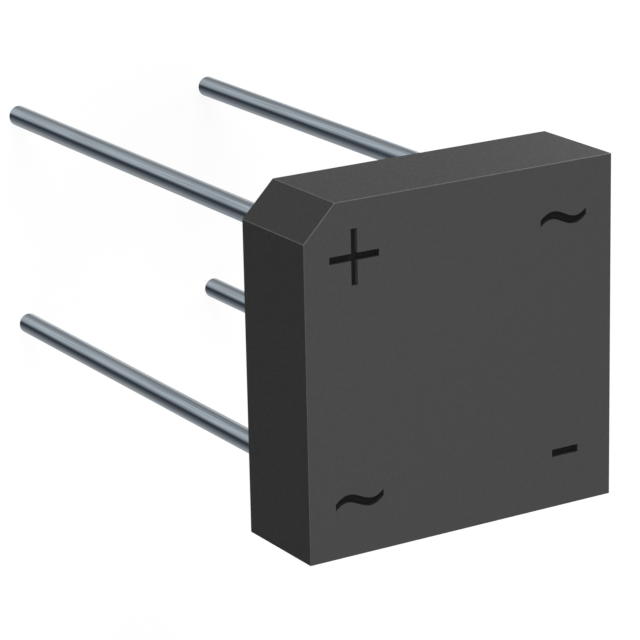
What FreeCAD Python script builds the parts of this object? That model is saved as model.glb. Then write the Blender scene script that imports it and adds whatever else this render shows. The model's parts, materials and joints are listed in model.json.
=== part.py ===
import FreeCAD, Part
import math
import os

# A square single-phase bridge rectifier with four wire leads, in millimetres.
# The origin is the middle of the seating plane, which is the open rim of the case. The leads point
# down and the marked face is up. The bevelled corner, at -X +Y, is the one of the positive output.
# The two outputs stand on one diagonal, and the two alternating current inputs on the other.
# The case is a moulded cup. A ring of four bent copper strips hangs in it with a diode chip soldered
# between each pair of neighbours, and potting resin fills the cup around the ring up to the leads.

# Moulded case
body_width = 15.2
body_height = 4.8
corner_bevel = 1.5
edge_radius = 0.08
wall_thickness = 0.9
roof_thickness = 1.2
cavity_radius = 0.4

# Polarity marks sunk in the top of the case
mark_depth = 0.2
plus_length = 2.35
plus_stroke = 0.3
minus_length = 1.33
minus_stroke = 0.33
wave_width = 2.33
wave_stroke = 0.33
wave_height = 0.18
wave_pitch = 2.05
wave_steps = 12

# Potting resin, which stays below the rim and climbs a little where it wets a wall or a lead
potting_recess = 0.2
meniscus = 0.15

# Copper strips
strip_width = 2.4
strip_thickness = 0.3
strip_to_wall = 0.3
strip_past_chip = 0.2
strip_inner_radius = 0.3
joggle_flat = 0.4
joggle_run = 0.8
bend_radius = 0.2
resin_over_strips = 0.54

# Diode chips, each with a sloped rim round its anode face
chip_width = 2.0
chip_thickness = 0.3
mesa_depth = 0.12
mesa_slope_width = 0.15
chip_solder_thickness = 0.08
chip_solder_margin = 0.1

# Nail-headed leads
lead_diameter = 0.97
lead_length = 25.4
neck_diameter = 1.4
head_diameter = 2.0
head_thickness = 0.4
lead_solder_thickness = 0.1
lead_solder_margin = 0.1

# Places worked out from the sizes
half_body = body_width / 2
half_cavity = half_body - wall_thickness
cavity_roof = body_height - roof_thickness
meniscus_foot = potting_recess - meniscus
strip_inset = wall_thickness + strip_to_wall
strip_outer = half_body - strip_inset
strip_inner = strip_outer - strip_width
lead_axis = (strip_outer + strip_inner) / 2
strip_end = -(chip_width / 2 + strip_past_chip)

# Levels of the stack, from the roof of the cup down
upper_strip = cavity_roof - resin_over_strips - strip_thickness
chip_top = upper_strip - chip_solder_thickness
chip_bottom = chip_top - chip_thickness
lower_strip_top = chip_bottom - chip_solder_thickness
lower_strip = lower_strip_top - strip_thickness
head_top = lower_strip - lead_solder_thickness
head_bottom = head_top - head_thickness

# Every corner and every side is built at +X +Y or at +Y, then turned to its place about the origin.
corner_turns = {"ac_a": 0, "plus": 90, "ac_b": 180, "minus": 270}
side_turns = {"plus_a": 0, "plus_b": 90, "minus_b": 180, "minus_a": 270}


def turned(shape, degrees):
    """The shape turned about the upright axis through the origin."""
    return shape.rotated(FreeCAD.Vector(0, 0, 0), FreeCAD.Vector(0, 0, 1), degrees)


def rounded_wire(corners):
    """A closed wire through (point, radius) corners, with an arc where the radius isn't 0."""
    stretches = []
    for i, (point, radius) in enumerate(corners):
        back = (corners[i - 1][0] - point).normalize()
        ahead = (corners[(i + 1) % len(corners)][0] - point).normalize()
        half_angle = back.getAngle(ahead) / 2
        reach = radius / math.tan(half_angle)
        bisector = (back + ahead).normalize()
        crown = point + bisector * (radius / math.sin(half_angle) - radius)
        stretches.append((point + back * reach, crown, point + ahead * reach, radius))
    edges = []
    for i, (start, crown, end, radius) in enumerate(stretches):
        if radius > 0:
            edges.append(Part.Arc(start, crown, end).toShape())
        following = stretches[(i + 1) % len(stretches)][0]
        edges.append(Part.LineSegment(end, following).toShape())
    return Part.Wire(edges)


def plan_prism(corners, bottom, top):
    """An upright prism whose outline is (x, y, radius) corners."""
    wire = rounded_wire([(FreeCAD.Vector(x, y, bottom), radius) for x, y, radius in corners])
    return Part.Face(wire).extrude(FreeCAD.Vector(0, 0, top - bottom))


def bevel_leg(inset):
    """How long the corner's bevel is along each side, on an outline this far inside the case's."""
    return corner_bevel - inset * (2 - math.sqrt(2))


def body_outline(inset, radius):
    """The square outline of the case with its one bevelled corner, moved in by the inset."""
    half = half_body - inset
    leg = bevel_leg(inset)
    return [
        (-half, -half, radius),
        (half, -half, radius),
        (half, half, radius),
        (leg - half, half, radius),
        (-half, half - leg, radius),
    ]


def edges_at(shape, level):
    """The edges of the shape that lie wholly at this height."""
    box_error = 0.001
    return [
        edge
        for edge in shape.Edges
        if abs(edge.BoundBox.ZMin - level) < box_error and abs(edge.BoundBox.ZMax - level) < box_error
    ]


def upright_edges(shape):
    """The straight edges of the shape that stand upright."""
    return [edge for edge in shape.Edges if abs(edge.tangentAt(edge.FirstParameter).z) > 0.999]


def cavity():
    """The inside of the cup, with its corners and roof edges rounded alike as on its moulding core."""
    outline = body_outline(wall_thickness, cavity_radius)
    core = plan_prism(outline, 0, cavity_roof)
    return core.makeFillet(cavity_radius, edges_at(core, cavity_roof))


def mark_bar(length, stroke):
    """A straight stroke of a mark, along X."""
    corner = FreeCAD.Vector(-length / 2, -stroke / 2, body_height - mark_depth)
    return Part.makeBox(length, stroke, mark_depth, corner)


def mark_plus():
    """The positive output's cross."""
    bar = mark_bar(plus_length, plus_stroke)
    return bar.fuse(turned(bar, 90)).removeSplitter()


def mark_wave():
    """The alternating current sign: one period of a sine, as thick upright all along it."""
    floor = body_height - mark_depth
    middle = []
    for step in range(wave_steps + 1):
        x = wave_width * (step / wave_steps - 0.5)
        y = -wave_height * math.sin(2 * math.pi * x / wave_pitch)
        middle.append(FreeCAD.Vector(x, y, floor))
    curve = Part.BSplineCurve()
    curve.interpolate(middle)
    half_stroke = FreeCAD.Vector(0, wave_stroke / 2, 0)
    lower = curve.toShape().translated(-half_stroke)
    upper = curve.toShape().translated(half_stroke)
    ends = [Part.LineSegment(p - half_stroke, p + half_stroke).toShape() for p in (middle[0], middle[-1])]
    wire = Part.Wire([lower, ends[1], upper, ends[0]])
    return Part.Face(wire).extrude(FreeCAD.Vector(0, 0, mark_depth))


def marks():
    """The four marks, each over its own lead and all read from the same side."""
    shapes = {
        "plus": mark_plus(),
        "minus": mark_bar(minus_length, minus_stroke),
        "ac_a": mark_wave(),
        "ac_b": mark_wave(),
    }
    corner = FreeCAD.Vector(lead_axis, lead_axis, 0)
    sunk = []
    for name, shape in shapes.items():
        turn = FreeCAD.Rotation(FreeCAD.Vector(0, 0, 1), corner_turns[name])
        sunk.append(shape.translated(turn.multVec(corner)))
    return sunk


def case_cup(hollow):
    """The moulded case, open at the seating plane, with its marks."""
    block = plan_prism(body_outline(0, 0), 0, body_height)
    outer_edges = upright_edges(block) + edges_at(block, body_height)
    block = block.makeFillet(edge_radius, outer_edges)
    return block.cut([hollow] + marks())


def lead():
    """A wire lead turned about its axis: cut end, round wire, tapered neck and nail head."""
    profile = [
        (0, -lead_length),
        (lead_diameter / 2, -lead_length),
        (lead_diameter / 2, meniscus_foot),
        (neck_diameter / 2, head_bottom),
        (head_diameter / 2, head_bottom),
        (head_diameter / 2, head_top),
        (0, head_top),
        (0, -lead_length),
    ]
    wire = Part.makePolygon([FreeCAD.Vector(radius, 0, level) for radius, level in profile])
    turned_wire = Part.Face(wire).revolve(FreeCAD.Vector(0, 0, 0), FreeCAD.Vector(0, 0, 1), 360)
    return turned_wire.translated(FreeCAD.Vector(lead_axis, lead_axis, 0))


def lead_solder():
    """The disc of solder between a lead's head and its strip."""
    radius = head_diameter / 2 - lead_solder_margin
    return Part.makeCylinder(radius, lead_solder_thickness, FreeCAD.Vector(lead_axis, lead_axis, head_top))


def strip_plan(bottom, top):
    """The L of a strip seen from above, with its outer corner cut to clear the case's bevel."""
    leg = bevel_leg(strip_inset)
    outline = [
        (strip_end, strip_inner, 0),
        (strip_inner, strip_inner, strip_inner_radius),
        (strip_inner, strip_end, 0),
        (strip_outer, strip_end, 0),
        (strip_outer, strip_outer - leg, 0),
        (strip_outer - leg, strip_outer, 0),
        (strip_end, strip_outer, 0),
    ]
    return plan_prism(outline, bottom, top)


def flat_strip():
    """An output strip, which lies flat under its two chips."""
    return strip_plan(lower_strip, lower_strip_top)


def joggled_arm():
    """A sheet that leaves the corner along -X and steps up to lie over the chip."""
    step_foot = strip_inner - strip_inner_radius - joggle_flat
    step_head = step_foot - joggle_run
    rise = upper_strip - lower_strip
    slant = math.atan2(rise, joggle_run)
    shift = strip_thickness * math.tan(slant / 2)
    outer_radius = bend_radius + strip_thickness
    side = [
        (strip_outer, lower_strip, 0),
        (step_foot, lower_strip, outer_radius),
        (step_head, upper_strip, bend_radius),
        (strip_end, upper_strip, 0),
        (strip_end, upper_strip + strip_thickness, 0),
        (step_head + shift, upper_strip + strip_thickness, outer_radius),
        (step_foot + shift, lower_strip_top, bend_radius),
        (strip_outer, lower_strip_top, 0),
    ]
    near = strip_inner - strip_inner_radius
    wire = rounded_wire([(FreeCAD.Vector(x, near, z), radius) for x, z, radius in side])
    return Part.Face(wire).extrude(FreeCAD.Vector(0, strip_outer - near, 0))


def joggled_strip():
    """An input strip: flat at its corner, with both arms stepped up over their chips."""
    arm = joggled_arm()
    diagonal = FreeCAD.Vector(1, -1, 0)
    other_arm = arm.mirror(FreeCAD.Vector(0, 0, 0), diagonal)
    plan = strip_plan(lower_strip, upper_strip + strip_thickness)
    return plan.common(arm.fuse(other_arm)).removeSplitter()


def square_wire(width, level):
    """A level square wire about the middle of the +Y side."""
    half = width / 2
    corners = [(-half, -half), (half, -half), (half, half), (-half, half), (-half, -half)]
    return Part.makePolygon([FreeCAD.Vector(x, lead_axis + y, level) for x, y in corners])


def chip(anode_up):
    """A diode chip with its sloped rim at the anode face."""
    mesa_width = chip_width - 2 * mesa_slope_width
    anode, cathode = (chip_top, chip_bottom) if anode_up else (chip_bottom, chip_top)
    rim_foot = anode - mesa_depth if anode_up else anode + mesa_depth
    slab = Part.Face(square_wire(chip_width, cathode)).extrude(FreeCAD.Vector(0, 0, rim_foot - cathode))
    mesa = Part.makeLoft([square_wire(chip_width, rim_foot), square_wire(mesa_width, anode)], True, True)
    return slab.fuse(mesa).removeSplitter()


def chip_solder(face_width, bottom):
    """The square of solder on one face of a chip, a margin smaller than that face."""
    pad = Part.Face(square_wire(face_width - 2 * chip_solder_margin, bottom))
    return pad.extrude(FreeCAD.Vector(0, 0, chip_solder_thickness))


def chip_stack(name):
    """A chip and the solder under and over it. The positive output's chips have the anode up."""
    anode_up = name.startswith("plus")
    mesa_width = chip_width - 2 * mesa_slope_width
    lower_face, upper_face = (chip_width, mesa_width) if anode_up else (mesa_width, chip_width)
    return {
        f"chip_{name}": chip(anode_up),
        f"solder_{name}_lower": chip_solder(lower_face, lower_strip_top),
        f"solder_{name}_upper": chip_solder(upper_face, chip_top),
    }


def inner_pieces():
    """All that the resin holds: leads, strips, chips and solder, each by the name of its node."""
    pieces = {}
    for name, turn in corner_turns.items():
        strip = joggled_strip() if name.startswith("ac") else flat_strip()
        pieces[f"lead_{name}"] = turned(lead(), turn)
        pieces[f"strip_{name}"] = turned(strip, turn)
        pieces[f"solder_lead_{name}"] = turned(lead_solder(), turn)
    for name, turn in side_turns.items():
        for node, shape in chip_stack(name).items():
            pieces[node] = turned(shape, turn)
    return pieces


def open_pool():
    """The space between the seating plane and the resin, whose rim slopes where the resin climbs."""
    outline = body_outline(wall_thickness, cavity_radius)
    pool = plan_prism(outline, 0, potting_recess)
    wire = Part.makeCylinder(lead_diameter / 2, potting_recess, FreeCAD.Vector(lead_axis, lead_axis, 0))
    pool = pool.cut([turned(wire, turn) for turn in corner_turns.values()])
    return pool.makeChamfer(meniscus, edges_at(pool, potting_recess))


def potting(hollow, pieces):
    """The resin: all of the cup that the pool and the inner pieces leave."""
    return hollow.cut([open_pool()] + list(pieces.values()))


def build():
    """Every node of the rectifier, by its name."""
    hollow = cavity()
    pieces = inner_pieces()
    return {"case": case_cup(hollow), "potting": potting(hollow, pieces), **pieces}


os.makedirs("parts", exist_ok=True)
for node, shape in build().items():
    shape.exportStep(f"parts/{node}.step")
    print(node, shape.ShapeType, len(shape.Solids), f"{shape.Volume:.4f} mm3", shape.isValid())
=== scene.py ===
"""A square bridge rectifier that stands on its four wire leads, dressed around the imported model.

The moulded case, the potting resin and the wire leads are modelled here, each in the place of its
CAD node. The copper strips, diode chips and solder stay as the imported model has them, and get the
finish of the real ones. Sizes are written in millimetres and turned to metres with MM.
"""

import json
import logging
import math
from abc import ABC, abstractmethod
from collections.abc import Callable, Iterator
from contextlib import contextmanager
from dataclasses import dataclass, field
from enum import Enum
from typing import Any

import bmesh
import bpy
from bmesh.types import BMEdge, BMFace
from bpy.types import Material, MeshPolygon, Node, NodeSocket, NodeTree, Object
from mathutils import Matrix, Vector

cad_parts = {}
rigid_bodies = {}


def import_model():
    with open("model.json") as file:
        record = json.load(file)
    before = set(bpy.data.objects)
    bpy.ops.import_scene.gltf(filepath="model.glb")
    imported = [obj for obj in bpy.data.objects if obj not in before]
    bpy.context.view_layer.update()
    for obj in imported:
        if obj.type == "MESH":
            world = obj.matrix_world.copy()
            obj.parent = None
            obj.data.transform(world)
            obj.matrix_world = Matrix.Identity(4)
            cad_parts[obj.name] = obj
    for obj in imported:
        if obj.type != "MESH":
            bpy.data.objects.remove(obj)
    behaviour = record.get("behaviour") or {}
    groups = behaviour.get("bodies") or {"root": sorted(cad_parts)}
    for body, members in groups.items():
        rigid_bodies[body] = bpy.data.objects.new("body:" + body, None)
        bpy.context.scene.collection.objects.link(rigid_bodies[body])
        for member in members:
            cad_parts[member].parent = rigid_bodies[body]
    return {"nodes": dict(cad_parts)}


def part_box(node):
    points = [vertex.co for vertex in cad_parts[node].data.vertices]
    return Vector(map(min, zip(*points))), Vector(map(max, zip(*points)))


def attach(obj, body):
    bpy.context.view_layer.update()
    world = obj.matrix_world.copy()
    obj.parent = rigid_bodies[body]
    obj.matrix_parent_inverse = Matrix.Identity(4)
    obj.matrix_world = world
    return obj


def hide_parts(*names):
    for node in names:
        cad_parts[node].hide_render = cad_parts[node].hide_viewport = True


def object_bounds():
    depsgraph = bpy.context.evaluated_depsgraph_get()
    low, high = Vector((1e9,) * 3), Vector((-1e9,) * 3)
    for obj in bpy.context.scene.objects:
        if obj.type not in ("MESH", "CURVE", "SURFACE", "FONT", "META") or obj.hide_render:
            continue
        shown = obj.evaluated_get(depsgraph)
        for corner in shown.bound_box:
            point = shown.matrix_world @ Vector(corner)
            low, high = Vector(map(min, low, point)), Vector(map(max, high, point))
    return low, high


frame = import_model()
cad_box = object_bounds()

BODY = "root"
LOG = logging.getLogger("bridge_rectifier")

# Two or three numbers that belong together
Pair = tuple[float, float]
Triple = tuple[float, float, float]

MM = 0.001
# Points this near each other are level or in line
NEAR = 0.002 * MM
# Points this near each other are one
MERGED = 0.0002 * MM
# How much of a face's normal points one way, for a face that faces that way or leans towards it
FACING = 0.9
LEANING = 0.8
# Faces that meet at up to this many degrees are shaded as one
SMOOTH_UP_TO = 35.0
# Above 50, a large flat face counts for more in the shading than the roundings beside it
FLAT_FACE_WEIGHT = 80
# Where a Mix node has its two colours and its result
MIX_FROM, MIX_TO, MIX_RESULT = 6, 7, 2
WHITE = (1.0, 1.0, 1.0, 1.0)


class Element(Enum):
    """The kinds of mesh element that are selected, by Blender's name for the selection mode."""

    EDGES = "EDGE"
    FACES = "FACE"


class Corner(Enum):
    """The four corners of the case, by the lead that stands there. The value is its X and Y side."""

    PLUS = (-1, 1)
    AC_A = (1, 1)
    MINUS = (1, -1)
    AC_B = (-1, -1)

    @property
    def lead_node(self) -> str:
        """The name of the CAD node of this corner's lead."""
        return f"lead_{self.name.lower()}"


class Slot(Enum):
    """The record's material slots of the new pieces' finishes. The finishes are built here, and these
    are not read.
    """

    CASE = "moulded_case"
    RESIN = "potting_resin"
    LEAD = "tinned_copper"


class CupFace(Enum):
    """The kinds of face on the case's outside. The value is the place of its finish on the case."""

    PLAIN = 0
    # The roundings carry a painted highlight, and the brighter one further along Y
    EDGE = 1
    RUBBED = 2


class MarkFace(Enum):
    """The kinds of face in a sunk mark. The value is the place of its finish on the mark's cutter.

    An end is the left or right end of a stroke, and a post is a long side of the upright stroke.
    """

    FLOOR = 0
    SIDE = 1
    END = 2
    POST = 3


class Joining(Enum):
    """What is done with a second shape, by Blender's name for it."""

    CUT = "DIFFERENCE"
    FUSE = "UNION"


# Modelling by hand, in code


def select_alone(piece: Object) -> None:
    """Selects one piece and nothing else, and makes it the active one.

    Args:
        piece: The mesh object.
    """
    bpy.ops.object.select_all(action="DESELECT")
    bpy.context.view_layer.objects.active = piece
    piece.select_set(True)


@contextmanager
def editing(piece: Object) -> Iterator[None]:
    """Opens the piece alone in edit mode with nothing selected, and closes it again.

    Args:
        piece: The mesh object to edit.
    """
    select_alone(piece)
    bpy.ops.object.mode_set(mode="EDIT")
    bpy.ops.mesh.select_all(action="DESELECT")
    yield
    bpy.ops.object.mode_set(mode="OBJECT")


def pick(piece: Object, element: Element, test: Callable[[Any], bool]) -> None:
    """Selects the piece's elements that pass the test, and nothing else. The piece is in edit mode.

    Args:
        piece: The mesh object in edit mode.
        element: The kind of element to select.
        test: Takes one edge or face and says whether it is wanted.
    """
    bpy.ops.mesh.select_mode(type=element.value)
    bpy.ops.mesh.select_all(action="DESELECT")
    mesh = bmesh.from_edit_mesh(piece.data)
    for item in getattr(mesh, element.name.lower()):
        if test(item):
            item.select_set(True)
    bmesh.update_edit_mesh(piece.data)


def faces_up(face: BMFace) -> bool:
    """Whether a face looks up."""
    return face.normal.z > FACING


def faces_down(face: BMFace) -> bool:
    """Whether a face looks down."""
    return face.normal.z < -FACING


def faces_sideways(face: BMFace) -> bool:
    """Whether a face looks sideways."""
    return abs(face.normal.z) < 1 - FACING


def at_level(item: Any, level: float) -> bool:
    """Whether all corners of an edge or face are at this height, in metres."""
    return all(abs(vertex.co.z - level) < NEAR for vertex in item.verts)


def is_upright(edge: BMEdge) -> bool:
    """Whether an edge stands upright."""
    first, second = (vertex.co for vertex in edge.verts)
    return (first - second).xy.length < NEAR < (first - second).length


def is_plus_corner(edge: BMEdge) -> bool:
    """Whether an edge is the upright one at the positive lead, where the case is bevelled."""
    foot = edge.verts[0].co
    return is_upright(edge) and foot.x < 0 < foot.y


def reach_sideways(item: Any) -> float:
    """How far the middle of an edge or face is from the case's upright axis, along X or Y."""
    middle = sum((vertex.co for vertex in item.verts), Vector()) / len(item.verts)
    return max(abs(middle.x), abs(middle.y))


def settle(name: str) -> Object:
    """Names the primitive that was just added, and puts its place, turn and size in its mesh.

    Args:
        name: The primitive's name.

    Returns:
        The primitive, at the origin.
    """
    bpy.ops.object.transform_apply(location=True, rotation=True, scale=True)
    piece = bpy.context.active_object
    piece.name = piece.data.name = name
    return piece


def add_block(name: str, low: Vector, high: Vector) -> Object:
    """Adds a block between two corners, with its place in its mesh.

    Args:
        name: The object's name.
        low: The lowest corner, in metres.
        high: The highest corner, in metres.

    Returns:
        The new object, at the origin.
    """
    bpy.ops.object.select_all(action="DESELECT")
    bpy.ops.mesh.primitive_cube_add(size=1.0, location=(low + high) / 2, scale=high - low)
    return settle(name)


def bevel_plus_corner(piece: Object, leg: float) -> None:
    """Bevels the upright edge at the positive lead flat. The piece is in edit mode.

    Args:
        piece: The mesh object in edit mode.
        leg: How far the bevel reaches along each side, in metres.
    """
    pick(piece, Element.EDGES, is_plus_corner)
    bpy.ops.mesh.bevel(offset=leg, segments=1, affect="EDGES")


def extrude_rings(rings: list[Pair], axis: Pair) -> None:
    """Extrudes the selected round face up through rings. Its piece is in edit mode.

    Args:
        rings: Each ring's level and width in millimetres, the selected face's own first.
        axis: Where the rings' upright axis stands along X and Y, in millimetres.
    """
    for (level, width), (next_level, next_width) in zip(rings, rings[1:]):
        rise = (0, 0, (next_level - level) * MM)
        bpy.ops.mesh.extrude_region_move(TRANSFORM_OT_translate={"value": rise})
        spread = next_width / width
        centre = Vector((*axis, next_level)) * MM
        bpy.ops.transform.resize(value=(spread, spread, 1), center_override=centre)


def apply_modifier(piece: Object, kind: str, settings: dict[str, Any]) -> None:
    """Adds one modifier to the piece and applies it.

    Args:
        piece: The mesh object.
        kind: The modifier's type.
        settings: The modifier's properties by name.
    """
    select_alone(piece)
    modifier = piece.modifiers.new(kind.lower(), kind)
    for name, value in settings.items():
        setattr(modifier, name, value)
    bpy.ops.object.modifier_apply(modifier=modifier.name)


def round_edges(
    piece: Object,
    size: float,
    segments: int,
    test: Callable[[Any], bool],
    one_radius: bool = True,
    material_index: int = -1,
) -> None:
    """Rounds the edges that pass the test, all to one radius or all as far into their faces.

    Args:
        piece: The mesh object.
        size: The radius, or how far the rounding reaches into each face, in metres.
        segments: How many faces go round each edge.
        test: Takes one edge and says whether it is rounded.
        one_radius: Whether the size is the radius, whatever the angle of each edge.
        material_index: The piece's material for the rounded faces, or -1 for their neighbours'.
    """
    mesh = bmesh.new()
    mesh.from_mesh(piece.data)
    weight = mesh.edges.layers.float.get("bevel_weight_edge")
    weight = weight or mesh.edges.layers.float.new("bevel_weight_edge")
    for edge in mesh.edges:
        edge[weight] = 0.0
        if len(edge.link_faces) == 2 and test(edge):
            edge[weight] = math.tan(edge.calc_face_angle() / 2) if one_radius else 1.0
    mesh.to_mesh(piece.data)
    mesh.free()
    settings = {
        "width": size,
        "segments": segments,
        "limit_method": "WEIGHT",
        "use_clamp_overlap": False,
        "material": material_index,
    }
    apply_modifier(piece, "BEVEL", settings)


def join_shape(piece: Object, tool: Object, joining: Joining) -> None:
    """Cuts the tool's shape out of the piece or fuses it on, keeps its material and deletes the tool.

    Args:
        piece: The mesh object that is changed.
        tool: The second shape, a closed mesh object.
        joining: Whether it is cut out or fused on.
    """
    settings = {
        "operation": joining.value,
        "solver": "EXACT",
        "object": tool,
        "material_mode": "TRANSFER",
    }
    apply_modifier(piece, "BOOLEAN", settings)
    bpy.data.objects.remove(tool)


def copy_of(piece: Object) -> Object:
    """Copies a piece with a mesh of its own, whose loose corners are merged.

    Args:
        piece: The mesh object to copy, which stays as it is.

    Returns:
        The copy, in the scene.
    """
    twin = bpy.data.objects.new(f"{piece.name}_copy", piece.data.copy())
    bpy.context.scene.collection.objects.link(twin)
    with editing(twin):
        bpy.ops.mesh.select_all(action="SELECT")
        bpy.ops.mesh.remove_doubles(threshold=MERGED)
    return twin


def finish_shading(piece: Object) -> None:
    """Shades the piece's roundings smooth and keeps its flat faces flat.

    Args:
        piece: The mesh object.
    """
    select_alone(piece)
    bpy.ops.object.shade_smooth_by_angle(angle=math.radians(SMOOTH_UP_TO))
    apply_modifier(piece, "WEIGHTED_NORMAL", {"keep_sharp": True, "weight": FLAT_FACE_WEIGHT})


def dress(piece: Object, material: Material) -> None:
    """Gives the whole piece one material.

    Args:
        piece: A mesh object with one material slot or none.
        material: The material for it.
    """
    if not piece.material_slots:
        piece.data.materials.append(material)
    piece.material_slots[0].material = material


def place_on_body(piece: Object, node: str) -> None:
    """Lets a new piece ride on the body in the place of a CAD node.

    Args:
        piece: The new piece.
        node: The CAD node that it stands for.
    """
    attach(piece, BODY)
    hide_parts(node)
    LOG.info("%s stands for %s: %d faces", piece.name, node, len(piece.data.polygons))


# Finishes


def linear(colour: str) -> tuple[float, float, float, float]:
    """Turns an sRGB hex colour into the linear one that a socket takes.

    Args:
        colour: The colour as #rrggbb.

    Returns:
        Red, green, blue and an alpha of 1.
    """
    channels = [int(colour[i : i + 2], 16) / 255 for i in (1, 3, 5)]
    red, green, blue = (c / 12.92 if c <= 0.04045 else ((c + 0.055) / 1.055) ** 2.4 for c in channels)
    return red, green, blue, 1.0


def add_node(
    tree: NodeTree,
    kind: str,
    settings: dict[str, Any] | None = None,
    inputs: dict[str | int, Any] | None = None,
) -> Node:
    """Adds one shader node with its settings, its values and its links.

    Args:
        tree: The node tree.
        kind: The node's type without its leading ShaderNode.
        settings: Properties of the node by name.
        inputs: For each input, by name or number, a value or the output socket to link to it.

    Returns:
        The new node.
    """
    node = tree.nodes.new(f"ShaderNode{kind}")
    for name, value in (settings or {}).items():
        setattr(node, name, value)
    for socket, value in (inputs or {}).items():
        if isinstance(value, NodeSocket):
            tree.links.new(value, node.inputs[socket])
        else:
            node.inputs[socket].default_value = value
    return node


def pattern_scale(size: float) -> float:
    """The scale of a pattern whose features are about this size in millimetres."""
    return 1 / (size * MM)


@dataclass(frozen=True)
class Finish(ABC):
    """A surface finish. Its name is what the real surface is.

    Its depths and the sizes of its pattern's features are in millimetres.
    """

    name: str

    def material(self) -> Material:
        """Builds the finish.

        Returns:
            The new material.
        """
        material = bpy.data.materials.new(self.name)
        material.use_nodes = True
        tree = material.node_tree
        tree.nodes.clear()
        place = add_node(tree, "TexCoord").outputs["Object"]
        shader = self.shade(tree, place)
        add_node(tree, "OutputMaterial", inputs={"Surface": shader.outputs[0]})
        return material

    @abstractmethod
    def shade(self, tree: NodeTree, place: NodeSocket) -> Node:
        """Adds the finish's nodes.

        Args:
            tree: The material's node tree.
            place: The socket with the point on the object, in metres.

        Returns:
            The shader node.
        """


@dataclass(frozen=True)
class MouldedEpoxy(Finish):
    """Epoxy moulded against a finely eroded mould: matt, almost black, with an even and faint grain."""

    name: str = "matt_black_moulded_epoxy"
    colour: str = "#434343"
    grain_colour: str = "#464646"
    # The real grain of about 0.03 mm is too fine to show, so it is drawn coarser
    grain: float = 0.14
    grain_detail: float = 3.0
    grain_raggedness: float = 0.6
    grain_contrast: Pair = (0.35, 0.65)
    grain_depth: float = 0.0012
    roughness: Pair = (0.5, 0.6)
    specular: float = 0.15

    def shade(self, tree: NodeTree, place: NodeSocket) -> Node:
        """Adds the finish's nodes.

        Args:
            tree: The material's node tree.
            place: The socket with the point on the object, in metres.

        Returns:
            The shader node.
        """
        noise = {
            "Vector": place,
            "Scale": pattern_scale(self.grain),
            "Detail": self.grain_detail,
            "Roughness": self.grain_raggedness,
        }
        grain = add_node(tree, "TexNoise", inputs=noise).outputs["Fac"]
        low, high = self.grain_contrast
        steps = {"Value": grain, "From Min": low, "From Max": high}
        share = add_node(tree, "MapRange", inputs=steps).outputs["Result"]
        colours = {"Factor": share, MIX_FROM: linear(self.colour), MIX_TO: linear(self.grain_colour)}
        colour = add_node(tree, "Mix", {"data_type": "RGBA"}, colours).outputs[MIX_RESULT]
        levels = {"Value": share, "To Min": self.roughness[1], "To Max": self.roughness[0]}
        roughness = add_node(tree, "MapRange", inputs=levels).outputs["Result"]
        relief = {"Height": grain, "Distance": self.grain_depth * MM, "Strength": 1.0}
        normal = add_node(tree, "Bump", inputs=relief).outputs["Normal"]
        surface = {
            "Base Color": colour,
            "Roughness": roughness,
            "Normal": normal,
            "Specular IOR Level": self.specular,
        }
        return add_node(tree, "BsdfPrincipled", inputs=surface)


@dataclass(frozen=True)
class CastResin(Finish):
    """Potting epoxy poured into the cup: black, satin, and not quite level where it has shrunk."""

    name: str = "black_cast_epoxy"
    colour: str = "#2f2f31"
    # Its grey filler shows as faint specks, which are drawn several times as coarse as the real powder
    filler_colour: str = "#3b3b3c"
    filler: float = 0.25
    filler_detail: float = 2.0
    filler_contrast: Pair = (0.5, 0.75)
    sink: float = 2.6
    sink_detail: float = 1.0
    sink_depth: float = 0.02
    roughness: Pair = (0.24, 0.36)

    def shade(self, tree: NodeTree, place: NodeSocket) -> Node:
        """Adds the finish's nodes.

        Args:
            tree: The material's node tree.
            place: The socket with the point on the object, in metres.

        Returns:
            The shader node.
        """
        fine = {"Vector": place, "Scale": pattern_scale(self.filler), "Detail": self.filler_detail}
        filler = add_node(tree, "TexNoise", inputs=fine).outputs["Fac"]
        low, high = self.filler_contrast
        specks = {"Value": filler, "From Min": low, "From Max": high}
        share = add_node(tree, "MapRange", inputs=specks).outputs["Result"]
        colours = {"Factor": share, MIX_FROM: linear(self.colour), MIX_TO: linear(self.filler_colour)}
        colour = add_node(tree, "Mix", {"data_type": "RGBA"}, colours).outputs[MIX_RESULT]
        broad = {"Vector": place, "Scale": pattern_scale(self.sink), "Detail": self.sink_detail}
        waves = add_node(tree, "TexNoise", inputs=broad).outputs["Fac"]
        levels = {"Value": waves, "To Min": self.roughness[0], "To Max": self.roughness[1]}
        roughness = add_node(tree, "MapRange", inputs=levels).outputs["Result"]
        relief = {"Height": waves, "Distance": self.sink_depth * MM, "Strength": 1.0}
        normal = add_node(tree, "Bump", inputs=relief).outputs["Normal"]
        surface = {"Base Color": colour, "Roughness": roughness, "Normal": normal}
        return add_node(tree, "BsdfPrincipled", inputs=surface)


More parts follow.
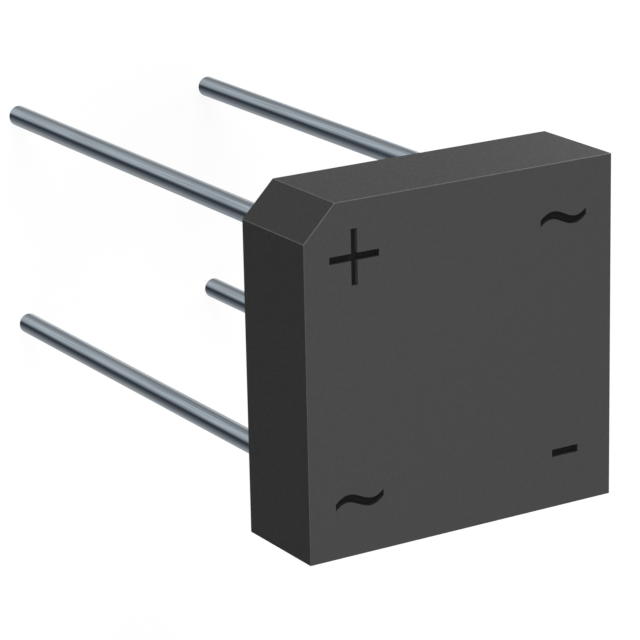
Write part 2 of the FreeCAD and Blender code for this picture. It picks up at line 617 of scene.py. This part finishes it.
@dataclass(frozen=True)
class DrawnMetal(Finish):
    """Bright metal that drawing or rolling has left with fine lines along one axis.

    As it stands it is copper wire dipped in hot tin: silver with a cool tint, whose long reflections
    the lines break into streaks. The axis is 0, 1 or 2 for X, Y or Z, and the stretch is how many
    times longer than wide a line is.
    """

    name: str = "hot_tin_dipped_copper_wire"
    colour: str = "#bfccd6"
    line_colour: str = "#a2adb6"
    # The real lines of about 0.02 mm are too fine to show, so they are drawn wider
    line: float = 0.07
    stretch: float = 60.0
    axis: int = 2
    line_detail: float = 3.0
    line_contrast: Pair = (0.3, 0.7)
    line_depth: float = 0.0004
    roughness: Pair = (0.15, 0.23)

    def shade(self, tree: NodeTree, place: NodeSocket) -> Node:
        """Adds the finish's nodes.

        Args:
            tree: The material's node tree.
            place: The socket with the point on the object, in metres.

        Returns:
            The shader node.
        """
        squeeze = [1.0, 1.0, 1.0]
        squeeze[self.axis] = 1 / self.stretch
        drawn = add_node(tree, "Mapping", inputs={"Vector": place, "Scale": squeeze}).outputs[0]
        noise = {"Vector": drawn, "Scale": pattern_scale(self.line), "Detail": self.line_detail}
        lines = add_node(tree, "TexNoise", inputs=noise).outputs["Fac"]
        low, high = self.line_contrast
        steps = {"Value": lines, "From Min": low, "From Max": high}
        share = add_node(tree, "MapRange", inputs=steps).outputs["Result"]
        colours = {"Factor": share, MIX_FROM: linear(self.colour), MIX_TO: linear(self.line_colour)}
        colour = add_node(tree, "Mix", {"data_type": "RGBA"}, colours).outputs[MIX_RESULT]
        levels = {"Value": share, "To Min": self.roughness[0], "To Max": self.roughness[1]}
        roughness = add_node(tree, "MapRange", inputs=levels).outputs["Result"]
        relief = {"Height": lines, "Distance": self.line_depth * MM, "Strength": 1.0}
        normal = add_node(tree, "Bump", inputs=relief).outputs["Normal"]
        surface = {"Base Color": colour, "Roughness": roughness, "Normal": normal, "Metallic": 1.0}
        return add_node(tree, "BsdfPrincipled", inputs=surface)


@dataclass(frozen=True)
class Reflowed(Finish):
    """Soft solder that has run and set: dull silver, with small frosty grains."""

    name: str = "reflowed_tin_solder"
    colour: str = "#bcbdbf"
    grain_colour: str = "#a3a5a9"
    # The real grains are too fine to show, so they are drawn a few times as coarse
    grain: float = 0.12
    grain_depth: float = 0.003
    grain_strength: float = 0.6
    roughness: float = 0.42

    def shade(self, tree: NodeTree, place: NodeSocket) -> Node:
        """Adds the finish's nodes.

        Args:
            tree: The material's node tree.
            place: The socket with the point on the object, in metres.

        Returns:
            The shader node.
        """
        cells = {"Vector": place, "Scale": pattern_scale(self.grain)}
        grains = add_node(tree, "TexVoronoi", inputs=cells).outputs["Distance"]
        colours = {"Factor": grains, MIX_FROM: linear(self.colour), MIX_TO: linear(self.grain_colour)}
        colour = add_node(tree, "Mix", {"data_type": "RGBA"}, colours).outputs[MIX_RESULT]
        relief = {
            "Height": grains,
            "Distance": self.grain_depth * MM,
            "Strength": self.grain_strength,
        }
        normal = add_node(tree, "Bump", inputs=relief).outputs["Normal"]
        surface = {
            "Base Color": colour,
            "Roughness": self.roughness,
            "Normal": normal,
            "Metallic": 1.0,
        }
        return add_node(tree, "BsdfPrincipled", inputs=surface)


@dataclass(frozen=True)
class LappedSilicon(Finish):
    """A sawn and lapped silicon die: dark blue-grey, with the soft mirror of a semiconductor."""

    name: str = "lapped_silicon_die"
    colour: str = "#3a3d44"
    lap_colour: str = "#4a4e57"
    # The scratches of lapping are too fine to show, so they are drawn several times as coarse
    lap: float = 0.05
    lap_detail: float = 4.0
    roughness: Pair = (0.18, 0.3)
    refraction: float = 3.9

    def shade(self, tree: NodeTree, place: NodeSocket) -> Node:
        """Adds the finish's nodes.

        Args:
            tree: The material's node tree.
            place: The socket with the point on the object, in metres.

        Returns:
            The shader node.
        """
        noise = {"Vector": place, "Scale": pattern_scale(self.lap), "Detail": self.lap_detail}
        lapping = add_node(tree, "TexNoise", inputs=noise).outputs["Fac"]
        colours = {"Factor": lapping, MIX_FROM: linear(self.colour), MIX_TO: linear(self.lap_colour)}
        colour = add_node(tree, "Mix", {"data_type": "RGBA"}, colours).outputs[MIX_RESULT]
        levels = {"Value": lapping, "To Min": self.roughness[0], "To Max": self.roughness[1]}
        roughness = add_node(tree, "MapRange", inputs=levels).outputs["Result"]
        surface = {"Base Color": colour, "Roughness": roughness, "IOR": self.refraction}
        return add_node(tree, "BsdfPrincipled", inputs=surface)


# Sub-assemblies


class SubAssembly(ABC):
    """A part of the rectifier that is built as one."""

    @abstractmethod
    def make(self) -> None:
        """Builds the pieces, dresses them and puts them on the body."""


@dataclass
class MouldedCase(SubAssembly):
    """The moulded cup, open below, with one bevelled corner and the four sunk polarity marks."""

    width: float = 15.2
    height: float = 4.8
    corner_bevel: float = 1.5
    wall: float = 0.9
    roof: float = 1.2
    cavity_radius: float = 0.4
    cavity_segments: int = 6
    edge_rounding: float = 0.025
    edge_segments: int = 4
    # The rounded edges further along Y than this get the brighter painted highlight
    rubbed_from: float = 6.0
    lead_axis: float = 5.2
    mark_depth: float = 0.2
    # The end of a stroke is smaller than this, in square millimetres
    end_area: float = 0.2
    plus_length: float = 2.37
    plus_stroke: float = 0.305
    minus_length: float = 1.335
    minus_stroke: float = 0.33
    wave_width: float = 2.33
    # A wave is thin at its ends and thick in the middle
    wave_stroke: Pair = (0.29, 0.38)
    wave_height: float = 0.172
    wave_pitch: float = 2.35
    # How far its ends flick away, the more suddenly the higher the power is
    wave_flick: float = 0.12
    wave_flick_power: int = 5
    wave_steps: int = 28
    # How far each mark stands off its lead's axis, along X and Y
    mark_shifts: dict[Corner, Pair] = field(
        default_factory=lambda: {
            Corner.PLUS: (-0.014, 0.018),
            Corner.AC_A: (-0.075, 0.0),
            Corner.MINUS: (0.027, 0.04),
            Corner.AC_B: (0.045, -0.012),
        }
    )
    moulding: Finish = field(default_factory=MouldedEpoxy)
    # The outer edges, with a painted highlight: a thin line a shade lighter than the faces
    edge: Finish = field(
        default_factory=lambda: MouldedEpoxy(
            name="black_epoxy_edge_painted_highlight", colour="#525252", grain_colour="#585858"
        )
    )
    # The same painted highlight, brighter and a little less rough, on the edges further along Y
    rubbed_edge: Finish = field(
        default_factory=lambda: MouldedEpoxy(
            name="black_epoxy_edge_bright_painted_highlight",
            colour="#686868",
            grain_colour="#727272",
            roughness=(0.36, 0.44),
        )
    )
    # The floor of a mark, with painted shade: near black, with hardly any sheen
    mark_floor: Finish = field(
        default_factory=lambda: MouldedEpoxy(
            name="black_epoxy_mark_floor_painted_shade", colour="#121212", grain_colour="#171717", specular=0.08
        )
    )
    # The sides of a mark, with painted shade: darker than the face, not black
    mark_wall: Finish = field(
        default_factory=lambda: MouldedEpoxy(
            name="black_epoxy_mark_wall_painted_shade", colour="#2d2d2d", grain_colour="#343434"
        )
    )

    def make(self) -> None:
        """Builds the case, dresses it and puts it on the body."""
        case = self.cup()
        # A mark's floor and sides have painted shade, and the long sides of its upright stroke have
        # painted light from the bright highlight's finish
        finishes = {
            MarkFace.FLOOR: self.mark_floor.material(),
            MarkFace.SIDE: self.mark_wall.material(),
            MarkFace.END: case.material_slots[CupFace.PLAIN.value].material,
            MarkFace.POST: case.material_slots[CupFace.RUBBED.value].material,
        }
        for cutter in self.mark_cutters():
            for kind in MarkFace:
                cutter.data.materials.append(finishes[kind])
            for face in cutter.data.polygons:
                face.material_index = self.kind_of(face).value
            join_shape(case, cutter, Joining.CUT)
        finish_shading(case)
        place_on_body(case, "case")

    def kind_of(self, face: MeshPolygon) -> MarkFace:
        """Tells the faces of a mark's cutter apart.

        Args:
            face: One face of the cutter.

        Returns:
            What it becomes in the sunk mark.
        """
        if abs(face.normal.z) > LEANING:
            return MarkFace.FLOOR
        if abs(face.normal.x) < LEANING:
            return MarkFace.SIDE
        return MarkFace.END if face.area < self.end_area * MM**2 else MarkFace.POST

    def cup(self) -> Object:
        """Models the case without its marks.

        Returns:
            The cup, with its open side at z = 0.
        """
        half = self.width / 2 * MM
        top = self.height * MM
        cavity_roof = (self.height - self.roof) * MM
        cup = add_block("case_moulding", Vector((-half, -half, 0)), Vector((half, half, top)))
        for finish in (self.moulding, self.edge, self.rubbed_edge):
            cup.data.materials.append(finish.material())
        with editing(cup):
            bevel_plus_corner(cup, self.corner_bevel * MM)
            pick(cup, Element.FACES, faces_down)
            bpy.ops.mesh.inset(thickness=self.wall * MM)
            bpy.ops.mesh.extrude_region_move(TRANSFORM_OT_translate={"value": (0, 0, cavity_roof)})
        middle_of_wall = (self.width / 2 - self.wall / 2) * MM

        def of_cavity(edge: BMEdge) -> bool:
            """Whether an edge is an upright or roof edge of the cavity."""
            inside = reach_sideways(edge) < middle_of_wall
            return inside and (is_upright(edge) or at_level(edge, cavity_roof))

        def of_outside(edge: BMEdge) -> bool:
            """Whether an edge is an upright or top edge of the outside."""
            outside = reach_sideways(edge) > middle_of_wall
            return at_level(edge, top) or (outside and is_upright(edge))

        round_edges(cup, self.cavity_radius * MM, self.cavity_segments, of_cavity)
        round_edges(
            cup,
            self.edge_rounding * MM,
            self.edge_segments,
            of_outside,
            one_radius=False,
            material_index=CupFace.EDGE.value,
        )
        # The roundings further along Y take the brighter painted highlight
        for face in cup.data.polygons:
            if face.material_index == CupFace.EDGE.value and face.center.y > self.rubbed_from * MM:
                face.material_index = CupFace.RUBBED.value
        return cup

    def mark_cutters(self) -> list[Object]:
        """Models the shapes that are cut out of the top, each over its own lead.

        Returns:
            One cutter for each mark.
        """
        plus = self.bar_cutter("plus_cutter", self.plus_stroke, self.plus_stroke)
        arm = (self.plus_length - self.plus_stroke) / 2 * MM
        with editing(plus):
            pick(plus, Element.FACES, faces_sideways)
            bpy.ops.mesh.extrude_faces_move(TRANSFORM_OT_shrink_fatten={"value": arm})
        minus = self.bar_cutter("minus_cutter", self.minus_length, self.minus_stroke)
        wave = self.wave_cutter()
        cutters = {
            Corner.PLUS: plus,
            Corner.AC_A: wave,
            Corner.MINUS: minus,
            Corner.AC_B: copy_of(wave),
        }
        for corner, cutter in cutters.items():
            side_x, side_y = corner.value
            right, up = self.mark_shifts[corner]
            place = Vector((side_x * self.lead_axis + right, side_y * self.lead_axis + up, 0))
            cutter.data.transform(Matrix.Translation(place * MM))
        return list(cutters.values())

    def bar_cutter(self, name: str, length: float, stroke: float) -> Object:
        """Models a straight stroke of a mark, as deep as the mark and standing out above the top.

        Args:
            name: The cutter's name.
            length: Its length along X in millimetres.
            stroke: Its width along Y in millimetres.

        Returns:
            The cutter, over the origin.
        """
        low = Vector((-length / 2, -stroke / 2, self.height - self.mark_depth)) * MM
        high = Vector((length / 2, stroke / 2, self.height + self.mark_depth)) * MM
        return add_block(name, low, high)

    def wave_line(self) -> list[Triple]:
        """Works out the line of a wave, whose ends flick out and whose stroke swells in the middle.

        Returns:
            At each step from left to right: how far along X and Y the line is, and how wide the
            stroke is there, in millimetres.
        """
        thin, thick = self.wave_stroke
        line = []
        for i in range(self.wave_steps + 1):
            x = self.wave_width / self.wave_steps * i - self.wave_width / 2
            turn = math.sin(2 * math.pi * x / self.wave_pitch)
            flick = (2 * x / self.wave_width) ** self.wave_flick_power
            swell = math.cos(math.pi * x / self.wave_width) ** 2
            y = self.wave_flick * flick - self.wave_height * turn
            line.append((x, y, thin + (thick - thin) * swell))
        return line

    def wave_cutter(self) -> Object:
        """Models one wave, swept along its line and as tall as the straight strokes.

        Returns:
            The cutter, over the origin.
        """
        line = self.wave_line()
        (start_x, start_y, _), (next_x, next_y, _) = line[:2]
        step = self.wave_width / self.wave_steps
        floor = self.height - self.mark_depth
        start = Vector((start_x + step / 2, start_y, floor)) * MM
        bpy.ops.object.select_all(action="DESELECT")
        bpy.ops.mesh.primitive_plane_add(size=1.0, location=start)
        bpy.context.active_object.scale = Vector((step, self.wave_stroke[0], 1)) * MM
        wave = settle("wave_cutter")
        leading = next_x * MM
        with editing(wave):
            pick(wave, Element.EDGES, lambda e: all(abs(v.co.x - leading) < NEAR for v in e.verts))
            bpy.ops.transform.translate(value=(0, (next_y - start_y) * MM, 0))
            for (_, last_y, last_stroke), (x, y, stroke) in zip(line[1:], line[2:]):
                move = (step * MM, (y - last_y) * MM, 0)
                bpy.ops.mesh.extrude_region_move(TRANSFORM_OT_translate={"value": move})
                middle = Vector((x, y, floor)) * MM
                spread = (1, stroke / last_stroke, 1)
                bpy.ops.transform.resize(value=spread, center_override=middle)
            pick(wave, Element.FACES, lambda face: True)
            lift = (0, 0, 2 * self.mark_depth * MM)
            bpy.ops.mesh.extrude_region_move(TRANSFORM_OT_translate={"value": lift})
            bpy.ops.mesh.select_all(action="SELECT")
            bpy.ops.mesh.normals_make_consistent(inside=False)
        return wave


@dataclass
class WireLeads(SubAssembly):
    """The four nail-headed wire leads, modelled once and copied to each corner."""

    wire_diameter: float = 0.97
    length: float = 25.4
    neck_foot: float = 0.05
    neck_diameter: float = 1.4
    head_diameter: float = 2.0
    head_bottom: float = 1.5
    head_top: float = 1.9
    tip_radius: float = 0.05
    tip_segments: int = 3
    sides: int = 64
    wire: Finish = field(default_factory=DrawnMetal)

    def make(self) -> None:
        """Builds the four leads, dresses them and puts them on the body."""
        material = self.wire.material()
        pattern = self.lead()
        dress(pattern, material)
        # Each lead is turned a quarter from the last one
        for turn, corner in enumerate(Corner):
            low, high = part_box(corner.lead_node)
            axis = (low + high) / 2
            lead = bpy.data.objects.new(self.piece_name(corner), pattern.data.copy())
            bpy.context.scene.collection.objects.link(lead)
            turned = Matrix.Rotation(turn * math.pi / 2, 4, "Z")
            lead.data.transform(Matrix.Translation((axis.x, axis.y, 0)) @ turned)
            place_on_body(lead, corner.lead_node)
        bpy.data.objects.remove(pattern)

    @staticmethod
    def piece_name(corner: Corner) -> str:
        """The name of the piece that stands for this corner's lead."""
        return f"wire_{corner.lead_node}"

    def lead(self) -> Object:
        """Models one lead on the upright axis through the origin.

        Returns:
            The lead, from its cut tip to the nail head inside the case.
        """
        wire_length = (self.length + self.neck_foot) * MM
        middle = (self.neck_foot - self.length) / 2 * MM
        bpy.ops.object.select_all(action="DESELECT")
        bpy.ops.mesh.primitive_cylinder_add(
            vertices=self.sides,
            radius=self.wire_diameter / 2 * MM,
            depth=wire_length,
            end_fill_type="NGON",
            location=(0, 0, middle),
        )
        lead = settle("lead_pattern")
        rings = [
            (self.neck_foot, self.wire_diameter),
            (self.head_bottom, self.neck_diameter),
            (self.head_bottom, self.head_diameter),
            (self.head_top, self.head_diameter),
        ]
        with editing(lead):
            pick(lead, Element.FACES, faces_up)
            extrude_rings(rings, axis=(0, 0))
        tip = -self.length * MM
        round_edges(lead, self.tip_radius * MM, self.tip_segments, lambda edge: at_level(edge, tip))
        finish_shading(lead)
        return lead


@dataclass
class DiodeRing(SubAssembly):
    """The strips, diode chips and solder that the resin seals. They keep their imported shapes."""

    # Bare copper from the rolling mill: salmon pink, with soft streaks drawn wider than the real lines
    copper: Finish = field(
        default_factory=lambda: DrawnMetal(
            name="rolled_bare_copper_strip",
            colour="#e3a889",
            line_colour="#d3957a",
            line=0.05,
            stretch=30.0,
            axis=0,
            roughness=(0.26, 0.38),
        )
    )
    silicon: Finish = field(default_factory=LappedSilicon)
    solder: Finish = field(default_factory=Reflowed)

    def make(self) -> None:
        """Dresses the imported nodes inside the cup."""
        finishes = {"strip_": self.copper, "chip_": self.silicon, "solder_": self.solder}
        for start, finish in finishes.items():
            material = finish.material()
            for node, piece in self.pieces(start).items():
                dress(piece, material)
                LOG.info("%s is dressed as %s", node, finish.name)

    @staticmethod
    def pieces(*starts: str) -> dict[str, Object]:
        """Finds the ring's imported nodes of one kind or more.

        Args:
            starts: What their names may start with.

        Returns:
            Each node's object by the node's name.
        """
        return {node: piece for node, piece in frame["nodes"].items() if node.startswith(starts)}


@dataclass
class PottingFill(SubAssembly):
    """The resin poured into the cup round the ring, which has climbed its walls and wires a little.

    Its level is how far inside the rim it lies. The collars on the wires are rooted inside them, and
    the solder's pockets are a hair too tall, because shapes that only touch don't join cleanly.
    """

    cup: MouldedCase
    leads: WireLeads
    level: float = 0.2
    climb: float = 0.15
    wall_reach: float = 0.33
    wire_reach: float = 0.42
    climb_steps: int = 7
    collar_root: float = 0.015
    hair: float = 0.002
    resin: Finish = field(default_factory=CastResin)

    def make(self) -> None:
        """Builds the resin, dresses it and puts it on the body."""
        material = self.resin.material()
        fill = self.fill()
        dress(fill, material)
        for corner in Corner:
            join_shape(fill, self.collar(corner, material), Joining.FUSE)
        sealed = {corner.lead_node: bpy.data.objects[self.leads.piece_name(corner)] for corner in Corner}
        sealed |= DiodeRing.pieces("strip_", "chip_", "solder_")
        for node, piece in sealed.items():
            pocket = copy_of(piece)
            dress(pocket, material)
            if node.startswith("solder_"):
                self.thicken(pocket, node)
            join_shape(fill, pocket, Joining.CUT)
        finish_shading(fill)
        place_on_body(fill, "potting")

    def thicken(self, pocket: Object, node: str) -> None:
        """Makes a pocket a hair taller at both ends, so that it opens into its neighbours' pockets.

        Args:
            pocket: The pocket's shape.
            node: The CAD node that lies in it.
        """
        low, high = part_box(node)
        middle = Matrix.Translation((low + high) / 2)
        taller = 1 + 2 * self.hair * MM / (high.z - low.z)
        pocket.data.transform(middle @ Matrix.Diagonal((1, 1, taller, 1)) @ middle.inverted())

    def meniscus(self, reach: float) -> list[Pair]:
        """The line along which the resin climbs, a quarter of an ellipse.

        Args:
            reach: How far from the wall or wire it starts to climb, in millimetres.

        Returns:
            Points from the wall outwards: how far out and at what level, in millimetres.
        """
        turns = [math.pi / 2 * i / self.climb_steps for i in range(self.climb_steps + 1)]
        foot = self.level - self.climb
        return [(reach * (1 - math.cos(turn)), foot + self.climb * math.sin(turn)) for turn in turns]

    def fill(self) -> Object:
        """Models the resin that fills the cup, without its collars and pockets.

        Returns:
            The fill, whose open side is below.
        """
        half = (self.cup.width / 2 - self.cup.wall) * MM
        roof = (self.cup.height - self.cup.roof) * MM
        line = self.meniscus(self.wall_reach)
        low, high = Vector((-half, -half, line[0][1] * MM)), Vector((half, half, roof))
        fill = add_block("potting_resin", low, high)
        # The cup's wall is as thick at the bevel as elsewhere, so the bevel inside it is shorter
        leg = self.cup.corner_bevel - self.cup.wall * (2 - math.sqrt(2))
        with editing(fill):
            bevel_plus_corner(fill, leg * MM)
        radius = self.cup.cavity_radius * MM
        segments = self.cup.cavity_segments
        round_edges(fill, radius, segments, lambda edge: is_upright(edge) or at_level(edge, roof))
        with editing(fill):
            pick(fill, Element.FACES, faces_down)
            for (out, level), (next_out, next_level) in zip(line, line[1:]):
                bpy.ops.mesh.inset(thickness=(next_out - out) * MM)
                bpy.ops.transform.translate(value=(0, 0, (next_level - level) * MM))
        return fill

    def collar(self, corner: Corner, material: Material) -> Object:
        """Models the resin that has climbed one wire, as a flared plug rooted inside the wire.

        Args:
            corner: The wire's corner.
            material: The resin's finish.

        Returns:
            The plug, which reaches up into the fill.
        """
        radius = self.leads.wire_diameter / 2
        line = [(level, radius + out) for out, level in self.meniscus(self.wire_reach)]
        foot = line[0][0]
        rings = [*line[1:], (self.level + self.climb, line[-1][1])]
        first_level, first_radius = rings[0]
        depth = first_level - foot
        x, y = (side * self.cup.lead_axis for side in corner.value)
        # Half a side's turn keeps the plug's edges clear of the wire's
        half_side = math.pi / self.leads.sides
        bpy.ops.object.select_all(action="DESELECT")
        bpy.ops.mesh.primitive_cone_add(
            vertices=self.leads.sides,
            radius1=(radius - self.collar_root) * MM,
            radius2=first_radius * MM,
            depth=depth * MM,
            end_fill_type="NGON",
            location=Vector((x, y, foot + depth / 2)) * MM,
            rotation=(0, 0, half_side),
        )
        plug = settle("collar_plug")
        with editing(plug):
            pick(plug, Element.FACES, faces_up)
            extrude_rings(rings, axis=(x, y))
        dress(plug, material)
        return plug


# The studio and the camera


@dataclass(frozen=True)
class Panel:
    """A wall or soft box that polished metal mirrors, as the bearings that it spans in degrees.

    A bearing is counted from +X towards +Y, and one panel fades into the next.
    """

    start: float
    end: float
    colour: str


@dataclass
class Studio:
    """A plain pale floor under plain soft light, with the panels that polished metal mirrors."""

    floor_size: float = 4000.0
    floor_colour: str = "#c4c4c4"
    # How much of the floor's look is plain white, and how bright that is; the rest keeps the shadow
    floor_white_share: float = 0.8
    floor_white: float = 1.15
    # The strength of the light from all round
    fill: float = 0.15
    # Each soft box's power in watts, the length of its side and its place
    key_power: float = 0.455
    key_size: float = 160.0
    key_place: Triple = (-5.0, 217.0, 197.0)
    front_power: float = 0.443
    front_size: float = 160.0
    front_place: Triple = (-42.0, -30.0, 285.0)
    side_power: float = 0.0043
    side_size: float = 20.0
    side_place: Triple = (30.0, 20.0, -4.0)
    # A dark room, a pale wall, a soft box, a grey wall, a wide soft box, and the dark room again
    panels: tuple[Panel, ...] = (
        Panel(-180, -167, "#42464c"),
        Panel(-95, -20, "#b8b8b8"),
        Panel(8, 24, "#e2e2e2"),
        Panel(40, 66, "#9e9e9e"),
        Panel(108, 146, "#dcdcdc"),
        Panel(174, 180, "#42464c"),
    )

    def make(self) -> None:
        """Builds the floor, the lamps and the world."""
        self.floor()
        self.lamp("key_soft_box", self.key_place, self.key_size, self.key_power)
        self.lamp("front_soft_box", self.front_place, self.front_size, self.front_power)
        self.lamp("side_soft_box", self.side_place, self.side_size, self.side_power)
        self.world()

    def floor(self) -> None:
        """Lays matt pale paper under the lead tips. It shows white, with the object's faint shadow.

        It shows only from above, and metal mirrors the panels in its place.
        """
        tips = cad_box[0].z
        bpy.ops.object.select_all(action="DESELECT")
        bpy.ops.mesh.primitive_plane_add(size=self.floor_size * MM, location=(0, 0, tips))
        floor = bpy.context.active_object
        floor.name = "pale_floor"
        material = bpy.data.materials.new("pale_floor_paper")
        material.use_nodes = True
        tree = material.node_tree
        tree.nodes.clear()
        rays = add_node(tree, "LightPath").outputs
        seen = {0: rays["Is Camera Ray"], 1: self.floor_white_share}
        share = add_node(tree, "Math", {"operation": "MULTIPLY"}, seen).outputs[0]
        paper = add_node(tree, "BsdfDiffuse", inputs={"Color": linear(self.floor_colour)})
        white = add_node(tree, "Emission", inputs={"Color": WHITE, "Strength": self.floor_white})
        mixed = {0: share, 1: paper.outputs[0], 2: white.outputs[0]}
        lit = add_node(tree, "MixShader", inputs=mixed).outputs[0]
        behind = add_node(tree, "NewGeometry").outputs["Backfacing"]
        clear = add_node(tree, "BsdfTransparent").outputs[0]
        one_sided = add_node(tree, "MixShader", inputs={0: behind, 1: lit, 2: clear})
        add_node(tree, "OutputMaterial", inputs={"Surface": one_sided.outputs[0]})
        dress(floor, material)
        floor.visible_glossy = False

    def lamp(self, name: str, place: Triple, size: float, power: float) -> None:
        """Hangs one square soft box that faces the case.

        Args:
            name: The lamp's name.
            place: Where it hangs, in millimetres.
            size: The length of its side in millimetres.
            power: Its power in watts.
        """
        light = bpy.data.lights.new(name, "AREA")
        light.size = size * MM
        light.energy = power
        lamp = bpy.data.objects.new(name, light)
        lamp.visible_camera = False
        lamp.location = Vector(place) * MM
        lamp.rotation_euler = (-lamp.location).to_track_quat("-Z", "Y").to_euler()
        bpy.context.scene.collection.objects.link(lamp)

    def mirrored_panels(self, tree: NodeTree) -> NodeSocket:
        """Adds the panels all round.

        Args:
            tree: The world's node tree.

        Returns:
            The socket with their light.
        """
        way = add_node(tree, "TexCoord").outputs["Generated"]
        bearing = add_node(tree, "TexGradient", {"gradient_type": "RADIAL"}, {0: way}).outputs["Fac"]
        ramp = add_node(tree, "ValToRGB", inputs={"Fac": bearing})
        edges = [(edge, panel.colour) for panel in self.panels for edge in (panel.start, panel.end)]
        # The ramp runs once round, from -180 to 180 degrees, and each new stop starts in its middle
        stops = ramp.color_ramp.elements
        while len(stops) < len(edges):
            stops.new(0.5)
        for stop, (edge, colour) in zip(stops, edges):
            stop.position = edge / 360 + 0.5
            stop.color = linear(colour)
        return add_node(tree, "Background", inputs={"Color": ramp.outputs["Color"]}).outputs[0]

    def world(self) -> None:
        """Lights the air plainly, shows white behind the object, and lets metal mirror the panels."""
        world = bpy.data.worlds.new("soft_studio")
        world.use_nodes = True
        bpy.context.scene.world = world
        tree = world.node_tree
        tree.nodes.clear()
        rays = add_node(tree, "LightPath").outputs
        mirrored = self.mirrored_panels(tree)
        air = add_node(tree, "Background", inputs={"Color": WHITE, "Strength": self.fill})
        white = add_node(tree, "Background", inputs={"Color": WHITE, "Strength": 1.0})
        met = {0: rays["Is Glossy Ray"], 1: air.outputs[0], 2: mirrored}
        lit = add_node(tree, "MixShader", inputs=met).outputs[0]
        direct = {0: rays["Is Camera Ray"], 1: rays["Is Transmission Ray"]}
        open_view = add_node(tree, "Math", {"operation": "MAXIMUM"}, direct).outputs[0]
        all_rays = add_node(tree, "MixShader", inputs={0: open_view, 1: lit, 2: white.outputs[0]})
        add_node(tree, "OutputWorld", inputs={"Surface": all_rays.outputs[0]})
        bpy.context.scene.view_settings.view_transform = "Standard"


@dataclass
class PhotoCamera:
    """The photograph's camera, fitted to the case's edges in it. It looks down on the marked face.

    The right and up arrows are those of its picture.
    """

    lens: float = 180.74
    place: Triple = (-70.991, 40.933, 110.206)
    right: Triple = (0.85095, -0.02039, 0.52484)
    up: Triple = (0.17142, 0.95531, -0.24082)

    def make(self) -> None:
        """Places the camera and makes it the scene's."""
        data = bpy.data.cameras.new("photo_camera")
        data.lens = self.lens
        data.clip_start = MM
        camera = bpy.data.objects.new("photo_camera", data)
        right = Vector(self.right).normalized()
        back = right.cross(Vector(self.up)).normalized()
        axes = Matrix((right, back.cross(right), back)).transposed()
        camera.matrix_world = Matrix.Translation(Vector(self.place) * MM) @ axes.to_4x4()
        bpy.context.scene.collection.objects.link(camera)
        bpy.context.scene.camera = camera


def main() -> None:
    """Builds the camera, the studio and the rectifier in order."""
    logging.basicConfig(level=logging.INFO, format="%(name)s: %(message)s")
    case, leads = MouldedCase(), WireLeads()
    for part in (PhotoCamera(), Studio(), case, leads, DiodeRing(), PottingFill(case, leads)):
        LOG.info("making %s", type(part).__name__)
        part.make()


if __name__ == "__main__":
    main()
